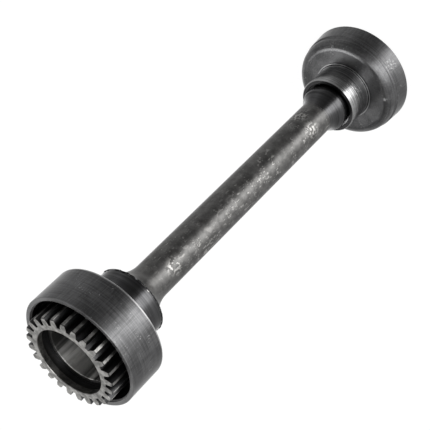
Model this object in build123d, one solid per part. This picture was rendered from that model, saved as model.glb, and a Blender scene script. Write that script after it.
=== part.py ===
"""Splined drive shaft with a drum coupling on each end. Millimetres, +Z up along the shaft's axis.

The part stands on the open rim of its far drum, at Z = 0. The near end, whose toothed ring stands
proud of its drum, is at the top.
"""
from build123d import *
from math import acos, cos, pi, radians, sin, sqrt, tan
import os

# ---- driving dimensions ---------------------------------------------------------------------
rim_to_rim = 401.0            # open rim of one drum to the open rim of the other
press_gap = 0.05              # radial room of a seat that is pressed together
spline_gap = 0.08             # room on every side of a spline tooth
edge_break = 0.8              # small chamfer on turned edges

# forged bar and its trumpet flares
bar_radius = 15.5
near_flare_length = 25.6
near_flare_radius = 28.2      # where the flare meets the turned neck
far_flare_sweep = 20.0        # radius of the concave sweep of the far flare
far_head_radius = 21.0
far_head_blend = 3.0          # convex radius between the far flare and the head
far_head_length = 7.0         # plain head that shows outside the sleeve

# near head: a turned, hollow seat for the drum and the toothed ring
neck_radius = 29.4
neck_length = 26.0            # what shows behind the near drum
neck_shoulder = 0.5           # step that the near drum is pressed against
head_bore_radius = 25.7
head_bore_depth = 54.0
head_drill_angle = 118.0      # included angle of the bore's bottom

# toothed rings
tooth_module = 3.0
tooth_count = 25
pressure_angle = 20.0
tooth_tip_chamfer = 0.9
ring_proud = 11.2             # the near ring stands out past its drum's rim
ring_land_radius = 29.4
ring_land_length = 5.2
ring_relief_radius = 31.2
far_ring_recess = 2.0         # the far ring stops inside its drum's rim

# drums
drum_radius = 50.0
drum_wall = 3.5
near_drum_depth = 34.5
near_back_wall = 5.0
near_mouth_depth = 2.0
near_mouth_step = 0.7
near_edge_radius = 1.2
near_floor_radius = 2.5
far_drum_depth = 28.0
far_body_taper = 1.0          # how much the far drum narrows from its rim to its cove
far_cove_length = 4.0
far_cove_depth = 0.8          # hollow of the cove below a straight line
far_shoulder_step = 2.0       # how much smaller the far shoulder is than the rim
far_shoulder_radius = 8.0     # rounding of the far shoulder
far_collar_height = 0.9
far_collar_wall = 1.0
far_collar_gap = 0.5
far_seat_depth = 1.6
far_land_height = 1.0         # raised land inside, that the far ring sits on
far_land_width = 5.0

# far sleeve, splines and retaining ring
sleeve_radius = 26.4
sleeve_length = 27.9          # what shows behind the far drum
sleeve_seat_step = 0.7
sleeve_mouth_radius = 22.4
sleeve_mouth_depth = 8.0
sleeve_end_height = 6.0
spline_count = 22
spline_tip_radius = 20.0
spline_depth = 1.7
spline_length = 32.0
shaft_tail = 6.0              # splined tail past the sleeve's splines
tail_bore_radius = 23.6
clip_thickness = 1.75
clip_groove_depth = 2.2
clip_side_gap = 0.05
clip_wall = 3.6
clip_opening = 34.0           # degrees

# ---- worked-out sizes -----------------------------------------------------------------------
pitch_radius = tooth_module * tooth_count / 2
tooth_tip_radius = pitch_radius + tooth_module
tooth_root_radius = pitch_radius - 1.25 * tooth_module
near_back = rim_to_rim - near_drum_depth
neck_end = near_back - neck_length
head_seat_radius = neck_radius - neck_shoulder
ring_face = rim_to_rim + ring_proud
near_floor = near_back + near_back_wall

far_back = far_drum_depth
far_floor = far_back - drum_wall
far_land = far_floor - far_land_height
far_shoulder = drum_radius - far_shoulder_step
sleeve_seat_radius = sleeve_radius - sleeve_seat_step
sleeve_shoulder = far_back - far_seat_depth
sleeve_mouth = far_back + sleeve_length
spline_top = sleeve_mouth - sleeve_mouth_depth
spline_bottom = spline_top - spline_length
shaft_bottom = spline_bottom - shaft_tail
head_top = sleeve_mouth + far_head_length
collar_inner = sleeve_radius + far_collar_gap
clip_seat_radius = spline_tip_radius - clip_groove_depth

FROM_TOP = (Align.CENTER, Align.CENTER, Align.MAX)
FROM_BASE = (Align.CENTER, Align.CENTER, Align.MIN)


def turned(*edges):
    """Solid of revolution about Z from a closed outline drawn as (radius, height)."""
    return revolve(Plane.XZ * make_face(edges), Axis.Z)


def run(*points):
    """Straight runs through (radius, height) points."""
    return Polyline(*points)


def corner_arc(start, centre, end):
    """Quarter-like arc from start to end about centre, with its middle point worked out."""
    radius = sqrt((start[0] - centre[0]) ** 2 + (start[1] - centre[1]) ** 2)
    mid = ((start[0] + end[0]) / 2 - centre[0], (start[1] + end[1]) / 2 - centre[1])
    scale = radius / sqrt(mid[0] ** 2 + mid[1] ** 2)
    return ThreePointArc(start, (centre[0] + mid[0] * scale, centre[1] + mid[1] * scale), end)


def half_tooth_angle(radius):
    """Half the angle that an involute tooth covers at a radius, in radians."""
    base = pitch_radius * cos(radians(pressure_angle))
    slope = acos(min(1.0, base / radius))
    at_pitch = tan(radians(pressure_angle)) - radians(pressure_angle)
    return pi / (2 * tooth_count) + at_pitch - (tan(slope) - slope)


def tooth_outline():
    """One tooth as a face on the XY plane, its root sunk a little into the ring's body."""
    sunk = tooth_root_radius - tooth_module / 2
    radii = [tooth_root_radius, pitch_radius, tooth_tip_radius]
    flank = [(r * cos(half_tooth_angle(r)), r * sin(half_tooth_angle(r))) for r in radii]
    left = [(x, -y) for x, y in flank]
    inner = (sunk * cos(half_tooth_angle(tooth_root_radius)), sunk * sin(half_tooth_angle(tooth_root_radius)))
    return make_face([
        ThreePointArc(*flank),
        ThreePointArc(flank[2], (tooth_tip_radius, 0), left[2]),
        ThreePointArc(*reversed(left)),
        Line(left[0], (inner[0], -inner[1])),
        Line((inner[0], -inner[1]), inner),
        Line(inner, flank[0]),
    ])


def toothed_blank(bottom, top):
    """Ring of involute teeth between two heights, with the tips chamfered at both ends."""
    outline = Circle(tooth_root_radius) + PolarLocations(0, tooth_count) * Sketch(tooth_outline())
    teeth = Pos(0, 0, bottom) * extrude(outline, top - bottom)
    cut = tooth_tip_chamfer
    envelope = turned(run(
        (0, bottom), (tooth_tip_radius - cut, bottom), (tooth_tip_radius + cut, bottom + 2 * cut),
        (tooth_tip_radius + cut, top - 2 * cut), (tooth_tip_radius - cut, top), (0, top), (0, bottom)))
    return teeth & envelope


def near_toothed_ring():
    """Ring pressed on the near head: plain land at its mouth, a relief, then the seat."""
    land_end = ring_face - ring_land_length
    seat = head_seat_radius + press_gap
    bore = turned(run(
        (0, near_floor), (seat, near_floor), (seat, rim_to_rim), (ring_relief_radius, rim_to_rim),
        (ring_relief_radius, land_end), (ring_land_radius, land_end),
        (ring_land_radius, ring_face - edge_break / 2), (ring_land_radius + edge_break / 2, ring_face),
        (0, ring_face), (0, near_floor)))
    return toothed_blank(near_floor, ring_face) - bore


def far_toothed_ring():
    """Ring pressed on the far sleeve, with a plain bore."""
    bore = Cylinder(sleeve_seat_radius + press_gap, far_land - far_ring_recess, align=FROM_BASE)
    return toothed_blank(far_ring_recess, far_land) - Pos(0, 0, far_ring_recess) * bore


def near_drum():
    """Plain cylindrical cup with a crisp back edge and a shallow step inside its mouth."""
    mouth = drum_radius - drum_wall
    inner = mouth - near_mouth_step
    seat = head_seat_radius + press_gap
    back = near_back
    rim = rim_to_rim
    rounding = near_edge_radius
    corner = near_floor_radius
    return turned(
        run((seat, back), (drum_radius - rounding, back)),
        corner_arc((drum_radius - rounding, back), (drum_radius - rounding, back + rounding),
                   (drum_radius, back + rounding)),
        run((drum_radius, back + rounding), (drum_radius, rim - edge_break / 2),
            (drum_radius - edge_break / 2, rim), (mouth + edge_break / 2, rim),
            (mouth, rim - edge_break / 2), (mouth, rim - near_mouth_depth),
            (inner, rim - near_mouth_depth), (inner, near_floor + corner)),
        corner_arc((inner, near_floor + corner), (inner - corner, near_floor + corner),
                   (inner - corner, near_floor)),
        run((inner - corner, near_floor), (seat, near_floor), (seat, back)),
    )


def far_drum():
    """Shallower cup with a rounded shoulder, a cove, and a thin collar round the sleeve."""
    round_low = far_back - far_shoulder_radius
    round_in = far_shoulder - far_shoulder_radius
    cove_low = round_low - far_cove_length
    body_top = drum_radius - far_body_taper
    cove_mid = ((body_top + far_shoulder) / 2 - far_cove_depth, (cove_low + round_low) / 2)
    mouth = drum_radius - drum_wall
    inner = far_shoulder - drum_wall
    seat = sleeve_seat_radius + press_gap
    collar_outer = collar_inner + far_collar_wall
    collar_top = far_back + far_collar_height
    half_break = edge_break / 2
    return turned(
        run((mouth, half_break), (mouth + half_break, 0), (drum_radius - half_break, 0),
            (drum_radius, half_break), (body_top, cove_low)),
        ThreePointArc((body_top, cove_low), cove_mid, (far_shoulder, round_low)),
        corner_arc((far_shoulder, round_low), (round_in, round_low), (round_in, far_back)),
        run((round_in, far_back), (collar_outer, far_back), (collar_outer, collar_top),
            (collar_inner, collar_top), (collar_inner, sleeve_shoulder), (seat, sleeve_shoulder),
            (seat, far_land), (seat + far_land_width, far_land), (seat + far_land_width, far_floor),
            (round_in, far_floor)),
        corner_arc((round_in, far_floor), (round_in, round_low), (inner, round_low)),
        run((inner, round_low), (mouth - far_body_taper, cove_low), (mouth, half_break)),
    )


def spline_bar(bottom, top, gap):
    """Straight-sided spline: a core with a ring of square teeth, grown by gap all round."""
    core = spline_tip_radius - spline_depth + gap
    tip = spline_tip_radius + gap
    width = pi * (spline_tip_radius - spline_depth / 2) / spline_count + 2 * gap
    tooth = Rectangle(2 * tip, width, align=(Align.MIN, Align.CENTER))
    outline = (Circle(core) + PolarLocations(0, spline_count) * tooth) & Circle(tip)
    return Pos(0, 0, bottom) * extrude(outline, top - bottom)


def far_flare():
    """Outline from the plain far head up to the bar: a convex blend, then the concave sweep."""
    blend_centre = (far_head_radius - far_head_blend, head_top)
    reach = far_flare_sweep + far_head_blend
    across = bar_radius + far_flare_sweep - blend_centre[0]
    sweep_centre = (bar_radius + far_flare_sweep, head_top + sqrt(reach ** 2 - across ** 2))
    share = far_head_blend / reach
    touch = (blend_centre[0] + share * (sweep_centre[0] - blend_centre[0]),
             blend_centre[1] + share * (sweep_centre[1] - blend_centre[1]))
    bar_point = (bar_radius, sweep_centre[1])
    blend = corner_arc((far_head_radius, head_top), blend_centre, touch)
    return bar_point, [blend, corner_arc(touch, sweep_centre, bar_point)]


def near_flare():
    """Concave outline from the bar up to the turned neck."""
    rise = near_flare_radius - bar_radius
    sweep = (near_flare_length ** 2 + rise ** 2) / (2 * rise)
    bar_point = (bar_radius, neck_end - near_flare_length)
    centre = (bar_radius + sweep, bar_point[1])
    return bar_point, corner_arc(bar_point, centre, (near_flare_radius, neck_end))


def shaft():
    """Forged bar flared at both ends: hollow turned head at the top, splined tail at the bottom."""
    far_point, far_edges = far_flare()
    near_point, near_edge = near_flare()
    bore_bottom = rim_to_rim - head_bore_depth
    drill_depth = head_bore_radius / tan(radians(head_drill_angle / 2))
    half_break = edge_break / 2
    body = turned(
        run((0, spline_top), (far_head_radius, spline_top), (far_head_radius, head_top)),
        *far_edges,
        run(far_point, near_point),
        near_edge,
        run((near_flare_radius, neck_end), (neck_radius - half_break, neck_end),
            (neck_radius, neck_end + half_break), (neck_radius, near_back),
            (head_seat_radius, near_back), (head_seat_radius, rim_to_rim - half_break),
            (head_seat_radius - half_break, rim_to_rim), (head_bore_radius + half_break, rim_to_rim),
            (head_bore_radius, rim_to_rim - half_break), (head_bore_radius, bore_bottom),
            (0, bore_bottom - drill_depth), (0, spline_top)),
    )
    groove = Pos(0, 0, spline_bottom) * (
        Cylinder(far_head_radius, clip_thickness + clip_side_gap, align=FROM_TOP)
        - Cylinder(clip_seat_radius, clip_thickness + clip_side_gap, align=FROM_TOP))
    point = turned(run(
        (0, shaft_bottom), (spline_tip_radius - edge_break, shaft_bottom),
        (far_head_radius, shaft_bottom + edge_break + far_head_radius - spline_tip_radius),
        (far_head_radius, spline_top), (0, spline_top), (0, shaft_bottom)))
    return body + (spline_bar(shaft_bottom, spline_top, 0) & point) - groove


def far_sleeve():
    """Tube pressed in the far drum, splined inside, that the shaft's far head drops into."""
    half_break = edge_break / 2
    core = spline_tip_radius - spline_depth
    tube = turned(run(
        (core, spline_bottom), (core, spline_top), (sleeve_mouth_radius, spline_top),
        (sleeve_mouth_radius, sleeve_mouth - half_break), (sleeve_mouth_radius + half_break, sleeve_mouth),
        (sleeve_radius - edge_break, sleeve_mouth), (sleeve_radius, sleeve_mouth - edge_break),
        (sleeve_radius, sleeve_shoulder), (sleeve_seat_radius, sleeve_shoulder),
        (sleeve_seat_radius, sleeve_end_height + half_break),
        (sleeve_seat_radius - half_break, sleeve_end_height), (tail_bore_radius, sleeve_end_height),
        (tail_bore_radius, spline_bottom), (core, spline_bottom)))
    return tube - spline_bar(spline_bottom - edge_break, spline_top + edge_break, spline_gap)


def retaining_clip():
    """Open spring ring in the groove of the splined tail, up against the sleeve's splines."""
    inner = clip_seat_radius + press_gap
    ring = Cylinder(inner + clip_wall, clip_thickness, align=FROM_TOP) - Cylinder(
        inner, clip_thickness, align=FROM_TOP)
    half = radians(clip_opening / 2)
    reach = 2 * (inner + clip_wall)
    wedge = make_face(run((0, 0), (reach * cos(half), -reach * sin(half)),
                          (reach * cos(half), reach * sin(half)), (0, 0)))
    return Pos(0, 0, spline_bottom) * (ring - extrude(wedge, -clip_thickness))


def build_parts():
    return {
        "shaft": shaft(),
        "far_sleeve": far_sleeve(),
        "retaining_clip": retaining_clip(),
        "near_drum": near_drum(),
        "near_toothed_ring": near_toothed_ring(),
        "far_drum": far_drum(),
        "far_toothed_ring": far_toothed_ring(),
    }


if __name__ == "__main__":
    os.makedirs("parts", exist_ok=True)
    for name, solid in build_parts().items():
        export_step(solid, f"parts/{name}.step")
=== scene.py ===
"""Finishes and studio for a splined drive shaft with a drum coupling on each end.

Everything is in metres in the part's own frame: +Z runs up the shaft's axis, from the far drum's
open rim at Z = 0 to the near toothed ring at the top.
"""
from math import cos, pi, radians, sin

import bmesh
import bpy
from mathutils import Matrix, Vector, noise


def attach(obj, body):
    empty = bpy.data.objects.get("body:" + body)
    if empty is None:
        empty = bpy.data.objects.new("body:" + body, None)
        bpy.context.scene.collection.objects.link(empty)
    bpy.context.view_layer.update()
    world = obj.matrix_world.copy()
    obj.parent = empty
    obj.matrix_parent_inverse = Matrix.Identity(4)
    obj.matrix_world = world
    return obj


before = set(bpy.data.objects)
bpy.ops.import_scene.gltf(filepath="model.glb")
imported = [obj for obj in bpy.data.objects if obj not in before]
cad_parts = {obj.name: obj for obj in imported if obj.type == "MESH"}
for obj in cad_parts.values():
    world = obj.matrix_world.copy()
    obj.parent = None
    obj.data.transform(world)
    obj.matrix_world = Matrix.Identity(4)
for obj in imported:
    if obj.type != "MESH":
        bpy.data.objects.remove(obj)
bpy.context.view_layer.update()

bl_info = {
    "name": "Splined Shaft Workshop",
    "version": (1, 0, 0),
    "blender": (4, 5, 0),
    "location": "View3D > Sidebar > Splined Shaft",
    "description": "Gives the splined shaft its steel finishes and sets up its studio",
    "category": "Object",
}

MM = 0.001

# heights and radii where the finishes change, in metres
SOFT = 0.0004
HALFWAY = 0.205
DRUM_EDGE_RADIUS = 0.049
NEAR_RIM = 0.4005
RIM_INNER_RADIUS = 0.0469
MOUTH_HEIGHT = 0.3985
MOUTH_RADIUS = 0.0465
NEAR_BACK = 0.3674
FAR_BACK = 0.0286
COLLAR_RADIUS = 0.0274
SHOULDER_FOOT = 0.0203
SHOULDER_RADIUS = 0.04725
NECK_END = 0.3418
NECK_EDGE_RADIUS = 0.0286
BORE_RADIUS = 0.0261
BORE_FLOOR = 0.33525
TURNED_FLARE_TOP = 0.079
SLEEVE_FACE = 0.0554
SLEEVE_LIP_RADIUS = 0.0258
RING_FACE = 0.41203
TOOTH_TIP_RADIUS = 0.04025
RELIEF_RADIUS = 0.03225
LAND_RADIUS = 0.0298
LAND_FOOT = 0.407


# ---- settings -------------------------------------------------------------------------------
def steel(name, description, colour):
    """A colour property for a steel surface."""
    return bpy.props.FloatVectorProperty(
        name=name, description=description, default=colour, size=3, subtype="COLOR", min=0, max=1)


class StudioSettings(bpy.types.PropertyGroup):
    """Where the camera stands, and how bright the studio round the part is."""
    aim: bpy.props.FloatVectorProperty(
        name="Aim", description="Point of the part that the camera looks at",
        default=(0.0014, 0.0, 0.2291), size=3, subtype="TRANSLATION", unit="LENGTH")
    distance: bpy.props.FloatProperty(
        name="Distance", description="From the camera to the point it looks at",
        default=0.9266, unit="LENGTH")
    elevation: bpy.props.FloatProperty(
        name="Elevation", description="Height of the camera above the horizon",
        default=radians(36.0), subtype="ANGLE", unit="ROTATION")
    roll: bpy.props.FloatProperty(
        name="Roll", description="Turn of the camera about its own axis",
        default=radians(-134.7), subtype="ANGLE", unit="ROTATION")
    lens: bpy.props.FloatProperty(
        name="Lens", description="Focal length in millimetres", default=96.3, unit="CAMERA")
    floor_size: bpy.props.FloatProperty(
        name="Floor", description="Side of the square floor", default=12.0, unit="LENGTH")
    floor_colour: steel("Floor colour", "Pale colour of the floor", (0.98, 0.98, 0.98))
    surround: bpy.props.FloatProperty(
        name="Surround", description="Brightness of the studio walls", default=1.0)


class FinishSettings(bpy.types.PropertyGroup):
    """Base colours of the steel surfaces."""
    forging: steel("Forging", "Dark skin of the forged bar", (0.148, 0.146, 0.142))
    oxide: steel("Oxide", "Satin black oxide of the drums", (0.13, 0.13, 0.132))
    turned: steel("Turned", "Glossy turned black steel of the neck", (0.08, 0.08, 0.082))
    # Set lighter than the turned black as a painted highlight on the far sleeve.
    sleeve: steel("Sleeve", "Glossy wiped steel of the far sleeve", (0.34, 0.34, 0.342))
    bare: steel("Bare steel", "Machined steel of the teeth", (0.38, 0.375, 0.36))
    # Its bright end goes only into the bore's painted highlight wedge.
    bore: steel("Bore", "Bright turned bore", (0.7, 0.69, 0.67))
    # This colour also serves as the painted highlight along the drum edges and the sleeve's end.
    wear_and_highlight: steel("Worn", "Steel showing through the black on rubbed edges", (0.6, 0.6, 0.6))
    scuff: steel("Scuff", "Pale scuffs and chips on the forging", (0.55, 0.54, 0.52))
    spring: steel("Spring steel", "Blued retaining clip", (0.08, 0.08, 0.085))


# ---- node building --------------------------------------------------------------------------
class Nodes:
    """Short calls for building one material's node tree."""

    def __init__(self, name):
        self.material = bpy.data.materials.new(name)
        self.material.use_nodes = True
        self.tree = self.material.node_tree
        self.tree.nodes.clear()
        self.output = self.add("ShaderNodeOutputMaterial")

    def add(self, kind, **settings):
        node = self.tree.nodes.new(kind)
        for key, value in settings.items():
            setattr(node, key, value)
        return node

    def plug(self, socket, value):
        if isinstance(value, bpy.types.NodeSocket):
            self.tree.links.new(value, socket)
        else:
            socket.default_value = value

    def math(self, operation, *values, clamp=False):
        node = self.add("ShaderNodeMath", operation=operation, use_clamp=clamp)
        for socket, value in zip(node.inputs, values):
            self.plug(socket, value)
        return node.outputs[0]

    def mix(self, share, first, second):
        node = self.add("ShaderNodeMix", data_type="RGBA")
        self.plug(node.inputs[0], share)
        self.plug(node.inputs[6], first)
        self.plug(node.inputs[7], second)
        return node.outputs[2]

    def ramp(self, value, low, high, start=0.0, end=1.0):
        node = self.add("ShaderNodeMapRange", interpolation_type="SMOOTHSTEP")
        for socket, item in zip(node.inputs, (value, low, high, start, end)):
            self.plug(socket, item)
        return node.outputs[0]

    def noise(self, vector, scale, detail=3.0, roughness=0.55):
        node = self.add("ShaderNodeTexNoise")
        self.plug(node.inputs["Vector"], vector)
        self.plug(node.inputs["Scale"], scale)
        self.plug(node.inputs["Detail"], detail)
        self.plug(node.inputs["Roughness"], roughness)
        return node.outputs[0]

    def stretch(self, point, x, y, z):
        """The point with each of its axes scaled."""
        node = self.add("ShaderNodeVectorMath", operation="MULTIPLY")
        self.plug(node.inputs[0], point)
        self.plug(node.inputs[1], (x, y, z))
        return node.outputs[0]

    def blend(self, share, first, second):
        """One number going to another by a share."""
        node = self.add("ShaderNodeMix", data_type="FLOAT")
        self.plug(node.inputs[0], share)
        self.plug(node.inputs[2], first)
        self.plug(node.inputs[3], second)
        return node.outputs[0]

    def both(self, first, second):
        return self.math("MULTIPLY", first, second)

    def total(self, start, *terms):
        """The start plus each value times its weight."""
        for value, weight in terms:
            start = self.math("MULTIPLY_ADD", value, weight, start)
        return start

    def past(self, value, edge, soft=SOFT):
        """Nothing short of the edge and one past it."""
        return self.ramp(value, edge - soft / 2, edge + soft / 2)

    def short_of(self, value, edge, soft=SOFT):
        """One short of the edge and nothing past it."""
        return self.ramp(value, edge - soft / 2, edge + soft / 2, 1.0, 0.0)

    def band(self, value, middle, half, soft):
        """One near the middle value, falling to nothing past the half width."""
        gap = self.math("ABSOLUTE", self.math("SUBTRACT", value, middle))
        return self.ramp(gap, half, half + soft, 1.0, 0.0)

    def flecks(self, point, size, level):
        """Scattered small marks of about the given size; a higher level leaves fewer of them."""
        fine = self.noise(point, 0.5 / size, 2.0, 0.5)
        patch = self.noise(point, 0.06 / size, 2.0, 0.5)
        total = self.math("ADD", self.math("MULTIPLY", fine, 0.6), self.math("MULTIPLY", patch, 0.4))
        cut = level - 0.06
        return self.ramp(total, cut, cut + 0.03)

    def spot(self, point, places, reach):
        """One round each of the places, falling to nothing at the reach."""
        total = 0.0
        for place in places:
            node = self.add("ShaderNodeVectorMath", operation="DISTANCE")
            self.plug(node.inputs[0], point)
            self.plug(node.inputs[1], place)
            near = self.ramp(node.outputs["Value"], reach * 0.3, reach, 1.0, 0.0)
            total = self.math("MAXIMUM", total, near)
        return total

    def combine(self, x, y, z):
        node = self.add("ShaderNodeCombineXYZ")
        for socket, value in zip(node.inputs, (x, y, z)):
            self.plug(socket, value)
        return node.outputs[0]

    def cylinder(self):
        """Radius, angle in turns and height of the shaded point, in metres, about the shaft's axis."""
        point = self.add("ShaderNodeTexCoord").outputs["Object"]
        split = self.add("ShaderNodeSeparateXYZ")
        self.plug(split.inputs[0], point)
        x, y, z = split.outputs
        angle = self.math("DIVIDE", self.math("ARCTAN2", y, x), 2 * pi)
        squares = self.math("ADD", self.math("MULTIPLY", x, x), self.math("MULTIPLY", y, y))
        radius = self.math("SQRT", squares)
        return point, radius, angle, z

    def bump(self, height, distance, strength=1.0, normal=None):
        node = self.add("ShaderNodeBump")
        self.plug(node.inputs["Height"], height)
        self.plug(node.inputs["Distance"], distance)
        self.plug(node.inputs["Strength"], strength)
        if normal is not None:
            self.plug(node.inputs["Normal"], normal)
        return node.outputs[0]

    def surface(self, colour, roughness, normal=None, lathe=0.0):
        """Closes the tree; lathe is how far the turning grooves stretch reflections along the axis."""
        shader = self.add("ShaderNodeBsdfPrincipled")
        self.plug(shader.inputs["Anisotropic"], lathe)
        self.plug(shader.inputs["Tangent"], self.combine(0.0, 0.0, 1.0))
        self.plug(shader.inputs["Base Color"], colour)
        self.plug(shader.inputs["Roughness"], roughness)
        self.plug(shader.inputs["Metallic"], 1.0)
        if normal is not None:
            self.plug(shader.inputs["Normal"], normal)
        self.tree.links.new(shader.outputs[0], self.output.inputs["Surface"])
        return self.material


def rgba(colour, gain=1.0):
    """Four numbers for a colour socket."""
    return tuple(min(1.0, channel * gain) for channel in colour) + (1.0,)


# places of the larger marks, in metres
FAR_DRUM_SCUFFS = ((-0.0143, -0.0480, 0.0115),)
BACK_FACE_CHIPS = ((-0.0321, -0.0282, 0.0275),)
BAR_SCUFFS = ((-0.0043, -0.0160, 0.3003), (0.0112, -0.0107, 0.0980), (-0.0050, -0.0148, 0.1030))
NECK_CHIPS = ((-0.0036, -0.0290, 0.3398),)


def oxide_drum():
    """Satin black oxide brushed round the drums, pale along the rims and edges, partly rubbed wear and
    partly painted edge highlights.
    """
    kit = Nodes("satin_black_oxide")
    finish = bpy.context.scene.shaft_finish
    point, radius, _, height = kit.cylinder()
    mottle = kit.noise(point, 70.0, 4.0, 0.6)
    lay = kit.noise(kit.stretch(point, 25.0, 25.0, 900.0), 1.0, 3.0, 0.7)
    across = kit.noise(kit.stretch(point, 900.0, 900.0, 60.0), 1.0, 3.0, 0.7)
    turning = kit.noise(kit.combine(kit.math("MULTIPLY", radius, 1600.0), mottle, 0.0), 1.0, 2.0, 0.6)
    near = kit.past(height, HALFWAY, 0.01)
    # Pale bands at the back edge, rim, mouth, collar and shoulder: partly rubbed wear, partly painted
    # highlights where these edges catch the light.
    back_edge = kit.both(kit.band(height, NEAR_BACK, 0.0004, 0.0005), kit.past(radius, DRUM_EDGE_RADIUS))
    rim = kit.both(kit.past(height, NEAR_RIM), kit.past(radius, RIM_INNER_RADIUS))
    mouth = kit.both(kit.past(height, MOUTH_HEIGHT, 0.002), kit.band(radius, MOUTH_RADIUS, 0.0003, 0.0002))
    collar = kit.both(kit.band(radius, COLLAR_RADIUS, 0.0004, 0.0003), kit.past(height, FAR_BACK))
    shoulder = kit.both(kit.band(height, SHOULDER_FOOT, 0.0002, 0.0003), kit.past(radius, SHOULDER_RADIUS))
    far_wear_and_highlight = kit.both(kit.total(collar, (shoulder, 0.2)), kit.math("SUBTRACT", 1.0, near))
    wear_and_highlight = kit.total(0.0, (rim, 0.22), (mouth, 0.45), (back_edge, 0.7), (far_wear_and_highlight, 0.6))
    rubbed = kit.math("MULTIPLY", wear_and_highlight, kit.ramp(mottle, 0.25, 0.55, 0.5, 1.0))
    patch = kit.both(kit.spot(point, FAR_DRUM_SCUFFS, 0.009), kit.flecks(point, 0.001, 0.585))
    marks = kit.math("MAXIMUM", kit.flecks(point, 0.0006, 0.70), patch)
    chip = kit.both(kit.spot(point, BACK_FACE_CHIPS, 0.0024), kit.flecks(point, 0.0012, 0.55))
    pale = kit.math("MAXIMUM", rubbed, kit.math("MULTIPLY", marks, 0.35))
    pale = kit.math("MAXIMUM", pale, kit.math("MULTIPLY", chip, 0.9), clamp=True)
    tone = kit.total(0.0, (lay, 0.385), (across, 0.315), (mottle, 0.3))
    dark = kit.mix(kit.ramp(tone, 0.38, 0.64), rgba(finish.oxide, 0.68), rgba(finish.oxide, 1.42))
    colour = kit.mix(pale, dark, rgba(finish.wear_and_highlight))
    rough = kit.total(0.19, (lay, 0.16), (turning, 0.08), (pale, 0.12))
    return kit.surface(colour, rough, kit.bump(lay, 0.000012, normal=kit.bump(marks, 0.00006)))


def forged_shaft():
    """Warm forging skin on the bar, glossy black on the turned neck, and in the bore dark steel with a
    painted highlight wedge of bright steel.
    """
    kit = Nodes("forged_shaft")
    finish = bpy.context.scene.shaft_finish
    point, radius, angle, height = kit.cylinder()
    mottle = kit.noise(point, 140.0, 4.0, 0.65)
    broad = kit.noise(point, 30.0, 2.0, 0.5)
    edge = kit.math("ADD", height, kit.math("MULTIPLY", kit.noise(point, 320.0, 3.0, 0.7), 0.0022))
    neck = kit.both(kit.past(edge, NECK_END, 0.0006), kit.past(radius, NECK_EDGE_RADIUS))
    bore = kit.both(kit.short_of(radius, BORE_RADIUS), kit.past(height, BORE_FLOOR, 0.0025))
    chip = kit.both(kit.band(edge, NECK_END - 0.0005, 0.0006, 0.0005), kit.ramp(mottle, 0.56, 0.6))
    chip = kit.both(chip, kit.past(radius, NECK_EDGE_RADIUS - SOFT))
    scuffs = kit.math("MAXIMUM", kit.flecks(kit.stretch(point, 1.0, 1.0, 0.45), 0.0012, 0.655),
                      kit.flecks(point, 0.0028, 0.685))
    scuffs = kit.math("MAXIMUM", scuffs, kit.flecks(point, 0.0006, 0.67))
    scuffs = kit.math("MULTIPLY", scuffs, kit.ramp(broad, 0.38, 0.62, 0.12, 0.6))
    knocked = kit.both(kit.spot(point, BAR_SCUFFS, 0.011), kit.flecks(point, 0.0012, 0.59))
    scuffs = kit.math("MAXIMUM", scuffs, kit.math("MULTIPLY", knocked, 0.8))
    turned_end = kit.short_of(edge, TURNED_FLARE_TOP, 0.01)
    neck = kit.math("MAXIMUM", neck, turned_end)
    scuffs = kit.both(scuffs, kit.math("SUBTRACT", 1.0, kit.math("MULTIPLY", neck, 0.85)))
    chip = kit.math("MAXIMUM", chip, kit.spot(point, NECK_CHIPS, 0.0022))
    skin = kit.mix(kit.ramp(mottle, 0.3, 0.72), rgba(finish.forging, 0.7), rgba(finish.forging, 1.3))
    skin = kit.mix(kit.math("MAXIMUM", scuffs, chip), skin, rgba(finish.scuff))
    rings = kit.noise(kit.stretch(point, 20.0, 20.0, 2400.0), 1.0, 2.0, 0.6)
    wipe = kit.flecks(kit.stretch(point, 0.25, 0.25, 1.0), 0.0006, 0.70)
    black = kit.mix(kit.ramp(rings, 0.35, 0.65), rgba(finish.turned, 0.7), rgba(finish.turned, 1.35))
    black = kit.mix(kit.math("MULTIPLY", wipe, 0.3), black, rgba(finish.wear_and_highlight, 0.6))
    black = kit.mix(chip, black, rgba(finish.scuff))
    # Painted highlight in the bore: a bright wedge and faint streaks along the axis, painted into the
    # colour where the bore's reflection falls.
    streak = kit.noise(kit.stretch(point, 200.0, 200.0, 8.0), 1.0, 3.0, 0.6)
    painted_highlight = kit.math("MAXIMUM", kit.band(angle, 0.294, 0.015, 0.05), kit.band(angle, 0.395, 0.004, 0.02))
    faint_painted_streaks = kit.ramp(streak, 0.42, 0.68, 0.0, 0.3)
    painted_highlight = kit.math("ADD", kit.math("MULTIPLY", painted_highlight, 0.75), faint_painted_streaks, clamp=True)
    bright = kit.mix(painted_highlight, rgba(finish.bore, 0.13), rgba(finish.bore, 1.4))
    colour = kit.mix(bore, kit.mix(neck, skin, black), bright)
    rough = kit.total(0.3, (mottle, 0.2))
    rough = kit.blend(neck, rough, kit.total(0.12, (rings, 0.16)))
    rough = kit.blend(bore, rough, kit.total(0.34, (rings, 0.2)))
    depth = kit.blend(kit.math("MAXIMUM", neck, bore), mottle, 0.5)
    lathe = kit.math("MAXIMUM", kit.math("MULTIPLY", bore, 0.9), kit.math("MULTIPLY", neck, 0.4))
    return kit.surface(colour, rough, kit.bump(depth, 0.00022, normal=kit.bump(scuffs, 0.00008)), lathe)


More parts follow.
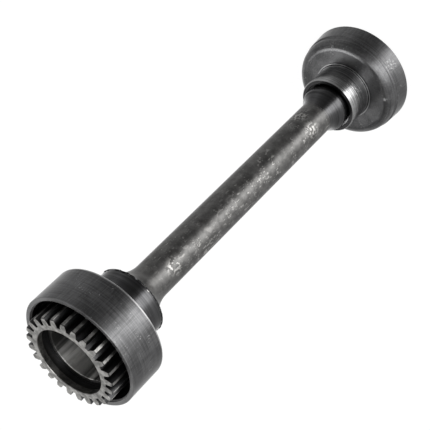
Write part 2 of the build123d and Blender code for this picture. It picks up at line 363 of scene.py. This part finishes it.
def turned_black():
    """Glossy turned sleeve, coloured lighter than the neck's turned black as a painted highlight, with
    fine rings, wiping marks and a painted highlight along the outer edge of its end.
    """
    kit = Nodes("turned_black")
    finish = bpy.context.scene.shaft_finish
    point, radius, _, height = kit.cylinder()
    rings = kit.noise(kit.stretch(point, 20.0, 20.0, 2200.0), 1.0, 2.0, 0.6)
    scratch = kit.math("MAXIMUM", kit.flecks(kit.stretch(point, 0.25, 0.25, 1.3), 0.0005, 0.65),
                       kit.flecks(kit.stretch(point, 1.4, 1.4, 0.2), 0.0005, 0.65))
    # Painted highlight: a pale line along the outer edge of the end face.
    lip = kit.both(kit.past(height, SLEEVE_FACE), kit.past(radius, SLEEVE_LIP_RADIUS))
    scratch = kit.both(kit.math("MULTIPLY", scratch, 0.4), kit.short_of(height, SLEEVE_FACE))
    pale = kit.math("MAXIMUM", scratch, kit.math("MULTIPLY", lip, 0.8))
    # The sleeve colour stands lighter than the neck's black as a painted highlight.
    black = kit.mix(kit.ramp(rings, 0.35, 0.65), rgba(finish.sleeve, 0.6), rgba(finish.sleeve, 1.4))
    black = kit.mix(kit.past(height, SLEEVE_FACE + SOFT / 2), black, rgba(finish.oxide, 0.7))
    colour = kit.mix(pale, black, rgba(finish.wear_and_highlight))
    rough = kit.total(0.13, (rings, 0.14))
    return kit.surface(colour, rough, kit.bump(rings, 0.00001, normal=kit.bump(scratch, 0.00004)))


def bare_steel():
    """Machined steel of the toothed rings: bright faces and tips, with painted shade in the tooth spaces
    and the relief groove.
    """
    kit = Nodes("bare_steel")
    finish = bpy.context.scene.shaft_finish
    point, radius, _, height = kit.cylinder()
    mottle = kit.noise(point, 170.0, 4.0, 0.65)
    face = kit.past(height, RING_FACE, 0.00015)
    tip = kit.past(radius, TOOTH_TIP_RADIUS)
    relief = kit.both(kit.short_of(radius, RELIEF_RADIUS), kit.short_of(height, LAND_FOOT))
    clear = kit.math("MAXIMUM", face, kit.math("MULTIPLY", tip, 0.75))
    clear = kit.math("MULTIPLY", clear, kit.math("SUBTRACT", 1.0, relief))
    land = kit.both(kit.short_of(radius, LAND_RADIUS), kit.past(height, LAND_FOOT))
    clear = kit.math("MAXIMUM", clear, kit.math("MULTIPLY", land, 0.8))
    lathe = kit.noise(kit.combine(kit.math("MULTIPLY", radius, 2200.0), mottle, 0.0), 1.0, 2.0, 0.6)
    metal = kit.mix(kit.ramp(mottle, 0.32, 0.68), rgba(finish.bare, 0.5), rgba(finish.bare, 1.45))
    # Off the faces, tips and land, the dark oxide colour is painted shade in the tooth spaces and the
    # relief groove.
    colour = kit.mix(clear, rgba(finish.oxide, 0.55), metal)
    rough = kit.total(0.24, (lathe, 0.2))
    return kit.surface(colour, rough, kit.bump(lathe, 0.00001, normal=kit.bump(mottle, 0.00008)))


def blued_spring():
    """Blued spring steel of the retaining clip, drawn along the wire."""
    kit = Nodes("blued_spring")
    colour = bpy.context.scene.shaft_finish.spring
    _, radius, angle, height = kit.cylinder()
    drawn = kit.noise(kit.combine(kit.math("MULTIPLY", radius, 900.0), angle, height), 1.0, 3.0, 0.6)
    base = kit.mix(drawn, rgba(colour, 0.7), rgba(colour, 1.5))
    return kit.surface(base, kit.total(0.2, (drawn, 0.2)))


# ---- pieces ---------------------------------------------------------------------------------
def dress(node, material):
    """Gives a carried-over node its material."""
    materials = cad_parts[node].data.materials
    materials.clear()
    materials.append(material)


class SHAFT_OT_burr(bpy.types.Operator):
    """Build the ragged dark burr round the turned neck's far edge"""
    bl_idname = "shaft.burr"
    bl_label = "Neck burr"

    def execute(self, context):
        mesh = bpy.data.meshes.new("neck_burr")
        shape = bmesh.new()
        section = Matrix.Translation((0.0291, 0.0, 0.3403)) @ Matrix.Rotation(pi / 2, 4, "X")
        bmesh.ops.create_circle(shape, cap_ends=False, segments=6, radius=0.65 * MM, matrix=section)
        bmesh.ops.spin(shape, geom=shape.verts[:] + shape.edges[:], cent=(0, 0, 0), axis=(0, 0, 1),
                       angle=2 * pi, steps=150, use_merge=True)
        bmesh.ops.remove_doubles(shape, verts=shape.verts, dist=0.001 * MM)
        bmesh.ops.recalc_face_normals(shape, faces=shape.faces)
        for vert in shape.verts:
            ragged = noise.noise(vert.co * 420.0)
            outward = Vector((vert.co.x, vert.co.y, 0.0)).normalized()
            vert.co += outward * (0.7 * MM * ragged) + Vector((0.0, 0.0, 1.0 * MM * ragged))
        for face in shape.faces:
            face.smooth = True
        shape.to_mesh(mesh)
        shape.free()
        burr = bpy.data.objects.new("neck_burr", mesh)
        context.scene.collection.objects.link(burr)
        kit = Nodes("burnt_edge")
        point = kit.cylinder()[0]
        grain = kit.noise(point, 900.0, 3.0, 0.6)
        colour = context.scene.shaft_finish.oxide
        base = kit.mix(kit.flecks(point, 0.0014, 0.60), rgba(colour, 0.35), rgba(colour, 2.6))
        mesh.materials.append(kit.surface(base, 0.5, kit.bump(grain, 0.00012)))
        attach(burr, "root")
        return {"FINISHED"}


class SHAFT_OT_drums(bpy.types.Operator):
    """Finish both drums in satin black oxide"""
    bl_idname = "shaft.drums"
    bl_label = "Drums"

    def execute(self, context):
        material = oxide_drum()
        for node in ("near_drum", "far_drum"):
            dress(node, material)
        return {"FINISHED"}


class SHAFT_OT_bar(bpy.types.Operator):
    """Finish the forged bar and its turned head"""
    bl_idname = "shaft.bar"
    bl_label = "Forged shaft"

    def execute(self, context):
        dress("shaft", forged_shaft())
        return {"FINISHED"}


class SHAFT_OT_rings(bpy.types.Operator):
    """Finish the toothed rings"""
    bl_idname = "shaft.rings"
    bl_label = "Toothed rings"

    def execute(self, context):
        material = bare_steel()
        for node in ("near_toothed_ring", "far_toothed_ring"):
            dress(node, material)
        return {"FINISHED"}


class SHAFT_OT_sleeve(bpy.types.Operator):
    """Finish the far sleeve and the retaining clip"""
    bl_idname = "shaft.sleeve"
    bl_label = "Sleeve and clip"

    def execute(self, context):
        dress("far_sleeve", turned_black())
        dress("retaining_clip", blued_spring())
        return {"FINISHED"}


def studio_world(strength):
    """Surround of soft strips: its brightness depends on the direction round the shaft's axis."""
    world = bpy.data.worlds.new("studio")
    bpy.context.scene.world = world
    world.use_nodes = True
    tree = world.node_tree
    tree.nodes.clear()
    coord = tree.nodes.new("ShaderNodeTexCoord")
    split = tree.nodes.new("ShaderNodeSeparateXYZ")
    tree.links.new(coord.outputs["Generated"], split.inputs[0])

    def math(operation, *values):
        node = tree.nodes.new("ShaderNodeMath")
        node.operation = operation
        for socket, value in zip(node.inputs, values):
            if isinstance(value, bpy.types.NodeSocket):
                tree.links.new(value, socket)
            else:
                socket.default_value = value
        return node.outputs[0]

    x, y, z = split.outputs
    turn = math("ARCTAN2", math("MULTIPLY", x, -1.0), math("MULTIPLY", y, -1.0))
    share = math("ADD", math("DIVIDE", turn, 2 * pi), 0.5)
    ramp = tree.nodes.new("ShaderNodeValToRGB")
    ramp.color_ramp.interpolation = "LINEAR"
    tree.links.new(share, ramp.inputs[0])
    first, *inner, last = STRIPS
    for degrees, level in inner:
        ramp.color_ramp.elements.new(degrees / 360.0 + 0.5).color = (level / BRIGHTEST,) * 3 + (1.0,)
    for place, (degrees, level) in ((0, first), (-1, last)):
        ramp.color_ramp.elements[place].color = (level / BRIGHTEST,) * 3 + (1.0,)
    background = tree.nodes.new("ShaderNodeBackground")
    tree.links.new(ramp.outputs[0], background.inputs["Color"])

    def rise(value, low, high, end):
        node = tree.nodes.new("ShaderNodeMapRange")
        tree.links.new(value, node.inputs[0])
        for socket, number in zip(node.inputs[1:5], (low, high, 0.0, end)):
            socket.default_value = number
        return node.outputs[0]

    behind = math("MULTIPLY", rise(z, 0.2, 0.55, 1.0), rise(y, 0.1, 0.5, 0.6))
    walls = math("MULTIPLY", math("SUBTRACT", 1.0, behind), BRIGHTEST)
    toward = tree.nodes.new("ShaderNodeVectorMath")
    toward.operation = "DOT_PRODUCT"
    tree.links.new(coord.outputs["Generated"], toward.inputs[0])
    toward.inputs[1].default_value = LAMP
    level = math("ADD", walls, rise(toward.outputs["Value"], 0.962, 0.984, LAMP_LEVEL))
    tree.links.new(math("MULTIPLY", level, strength), background.inputs["Strength"])
    output = tree.nodes.new("ShaderNodeOutputWorld")
    tree.links.new(background.outputs[0], output.inputs["Surface"])


# direction round the axis in degrees from the camera's side, and how bright the studio is there
STRIPS = (
    (-180, 1.0), (-160, 1.1), (-140, 0.73), (-120, 0.52), (-100, 0.47), (-80, 0.55), (-60, 0.3),
    (-40, 0.2), (-12, 0.12), (4, 0.35), (14, 3.6), (34, 3.4), (48, 1.2), (62, 0.8), (80, 0.65),
    (100, 0.55), (120, 0.55), (140, 0.55), (160, 0.93), (180, 1.0),
)
BRIGHTEST = 4.0
# direction of the high lamp, and how much it adds
LAMP = (0.26, 0.47, 0.843)
LAMP_LEVEL = 14.0


class SHAFT_OT_stage(bpy.types.Operator):
    """Build the pale floor, the soft studio and the camera"""
    bl_idname = "shaft.stage"
    bl_label = "Stage"

    def execute(self, context):
        studio = context.scene.shaft_studio
        half = studio.floor_size / 2
        mesh = bpy.data.meshes.new("floor")
        shape = bmesh.new()
        bmesh.ops.create_grid(shape, x_segments=1, y_segments=1, size=half)
        shape.to_mesh(mesh)
        shape.free()
        floor = bpy.data.objects.new("floor", mesh)
        context.scene.collection.objects.link(floor)
        kit = Nodes("pale_floor")
        shader = kit.add("ShaderNodeBsdfPrincipled")
        kit.plug(shader.inputs["Base Color"], rgba(studio.floor_colour, 0.1))
        kit.plug(shader.inputs["Roughness"], 0.9)
        kit.plug(shader.inputs["Emission Color"], rgba(studio.floor_colour))
        kit.plug(shader.inputs["Emission Strength"], 0.95)
        kit.tree.links.new(shader.outputs[0], kit.output.inputs["Surface"])
        mesh.materials.append(kit.material)
        floor.visible_glossy = False
        floor.visible_shadow = False

        studio_world(studio.surround)

        back = Vector((0, -cos(studio.elevation), sin(studio.elevation)))
        data = bpy.data.cameras.new("camera")
        data.lens = studio.lens
        data.clip_start = 0.01
        data.clip_end = 50.0
        camera = bpy.data.objects.new("camera", data)
        context.scene.collection.objects.link(camera)
        camera.location = Vector(studio.aim) + back * studio.distance
        level = (-back).to_track_quat("-Z", "Y").to_matrix().to_4x4()
        camera.rotation_euler = (level @ Matrix.Rotation(studio.roll, 4, "Z")).to_euler()
        context.scene.camera = camera
        context.scene.view_settings.view_transform = "Standard"
        return {"FINISHED"}


class SHAFT_PT_panel(bpy.types.Panel):
    """Lists the steps that dress the splined shaft"""
    bl_label = "Splined Shaft"
    bl_idname = "SHAFT_PT_panel"
    bl_space_type = "VIEW_3D"
    bl_region_type = "UI"
    bl_category = "Splined Shaft"

    def draw(self, context):
        for operator in OPERATORS:
            self.layout.operator(operator.bl_idname)
        for settings in (context.scene.shaft_finish, context.scene.shaft_studio):
            box = self.layout.box()
            for key in settings.__annotations__:
                box.prop(settings, key)


OPERATORS = (SHAFT_OT_bar, SHAFT_OT_burr, SHAFT_OT_drums, SHAFT_OT_rings, SHAFT_OT_sleeve, SHAFT_OT_stage)
CLASSES = (StudioSettings, FinishSettings) + OPERATORS + (SHAFT_PT_panel,)


def register():
    for cls in CLASSES:
        bpy.utils.register_class(cls)
    bpy.types.Scene.shaft_studio = bpy.props.PointerProperty(type=StudioSettings)
    bpy.types.Scene.shaft_finish = bpy.props.PointerProperty(type=FinishSettings)


def unregister():
    del bpy.types.Scene.shaft_finish
    del bpy.types.Scene.shaft_studio
    for cls in reversed(CLASSES):
        bpy.utils.unregister_class(cls)


def main():
    register()
    bpy.ops.shaft.bar()
    bpy.ops.shaft.burr()
    bpy.ops.shaft.drums()
    bpy.ops.shaft.rings()
    bpy.ops.shaft.sleeve()
    bpy.ops.shaft.stage()


if __name__ == "__main__":
    main()
